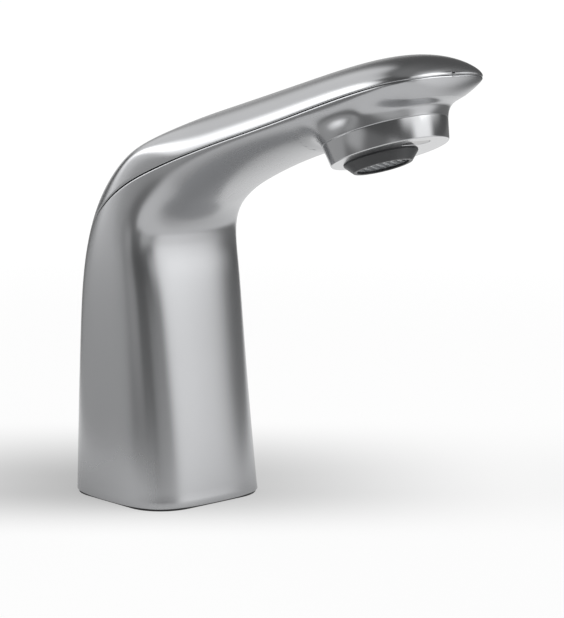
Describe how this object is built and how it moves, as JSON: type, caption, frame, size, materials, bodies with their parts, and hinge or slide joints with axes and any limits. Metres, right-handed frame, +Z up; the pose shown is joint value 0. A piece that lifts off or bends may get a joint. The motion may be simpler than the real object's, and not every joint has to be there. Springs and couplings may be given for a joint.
{
  "type": "sensor tap",
  "caption": "Deck-mounted touch-free basin tap: leaning square column, rising arm with separate top cover, round aerated outlet and sensor under the head.",
  "frame": {"origin": "Mouth of the fixing stud's thread in the underside of the base plate, level with the deck the tap stands on.", "axes": "+Z is up, along the fixing stud; +X is the way the arm reaches, towards the user; +Y completes a right-handed frame and points to the side the control case stands on."},
  "size_m": [0.1593, 0.054, 0.1529],
  "materials": {
    "body_chrome": "satin chrome plating",
    "cover_chrome": "satin chrome plating",
    "collar_chrome": "bright chrome plating",
    "housing_plastic": "dark moulded plastic",
    "honeycomb_plastic": "moulded cells",
    "screen_steel": "woven fine mesh",
    "insert_plastic": "white moulded plastic",
    "seal_rubber": "moulded rubber",
    "brass": "machined brass",
    "tube_steel": "drawn stainless tube",
    "screw_steel": "zinc-plated steel",
    "spring_steel": "drawn spring wire",
    "valve_plastic": "glass-filled plastic",
    "poppet_plastic": "natural acetal",
    "magnet_steel": "turned magnetic steel",
    "winding_copper": "enamelled copper winding",
    "smoked_window": "smoked clear plastic",
    "case_plastic": "black moulded plastic",
    "eye_lens": "clear and dark epoxy lens",
    "board_laminate": "green laminate with solder mask",
    "lead_sheath": "thin extruded sheath"
  },
  "bodies": {
    "tap": {"body_shell": "body_chrome", "top_cover": "cover_chrome", "outlet_collar": "collar_chrome", "aerator_housing": "housing_plastic", "aerator_honeycomb": "honeycomb_plastic", "aerator_screen": "screen_steel", "aerator_insert": "insert_plastic", "inlet_filter": "insert_plastic", "base_seal": "seal_rubber", "aerator_washer": "seal_rubber", "tube_rings": "seal_rubber", "window_gasket": "seal_rubber", "diaphragm": "seal_rubber", "cable_grommet": "seal_rubber", "base_plate": "brass", "inlet_nipple": "brass", "valve_body": "brass", "outlet_nozzle": "brass", "outlet_tube": "tube_steel", "cover_screws": "screw_steel", "base_screws": "screw_steel", "nozzle_screws": "screw_steel", "case_screws": "screw_steel", "check_spring": "spring_steel", "plunger_spring": "spring_steel", "bonnet": "valve_plastic", "check_cage": "valve_plastic", "bobbin": "valve_plastic", "core_tube": "magnet_steel", "fixed_core": "magnet_steel", "yoke": "magnet_steel", "coil": "winding_copper", "sensor_window": "smoked_window", "sensor_case": "case_plastic", "control_case": "case_plastic", "control_lid": "case_plastic", "lead_clips": "case_plastic", "infrared_emitter": "eye_lens", "infrared_receiver": "eye_lens", "sensor_board": "board_laminate", "control_board": "board_laminate", "sensor_lead": "lead_sheath"},
    "plunger_body": {"plunger": "magnet_steel"},
    "diaphragm_body": {"diaphragm_disc": "poppet_plastic"},
    "poppet_body": {"check_poppet": "poppet_plastic"}
  },
  "joints": [
    {"name": "plunger_slide", "type": "slide", "parent": "tap", "child": "plunger_body", "axis": [0, 0, 1], "range_m": [0, 0.0015], "stiffness_N_per_m": 250, "springref_m": -0.004, "deforming": ["plunger_spring"]},
    {"name": "diaphragm_lift", "type": "slide", "parent": "tap", "child": "diaphragm_body", "axis": [0, 0, 1], "range_m": [0, 0.0012]},
    {"name": "poppet_slide", "type": "slide", "parent": "tap", "child": "poppet_body", "axis": [0, 0, 1], "range_m": [0, 0.002], "stiffness_N_per_m": 60, "springref_m": -0.003, "deforming": ["check_spring"]}
  ],
  "couplings": [
    {"joint": "diaphragm_lift", "follows": "plunger_slide", "ratio": 0.8}
  ]
}
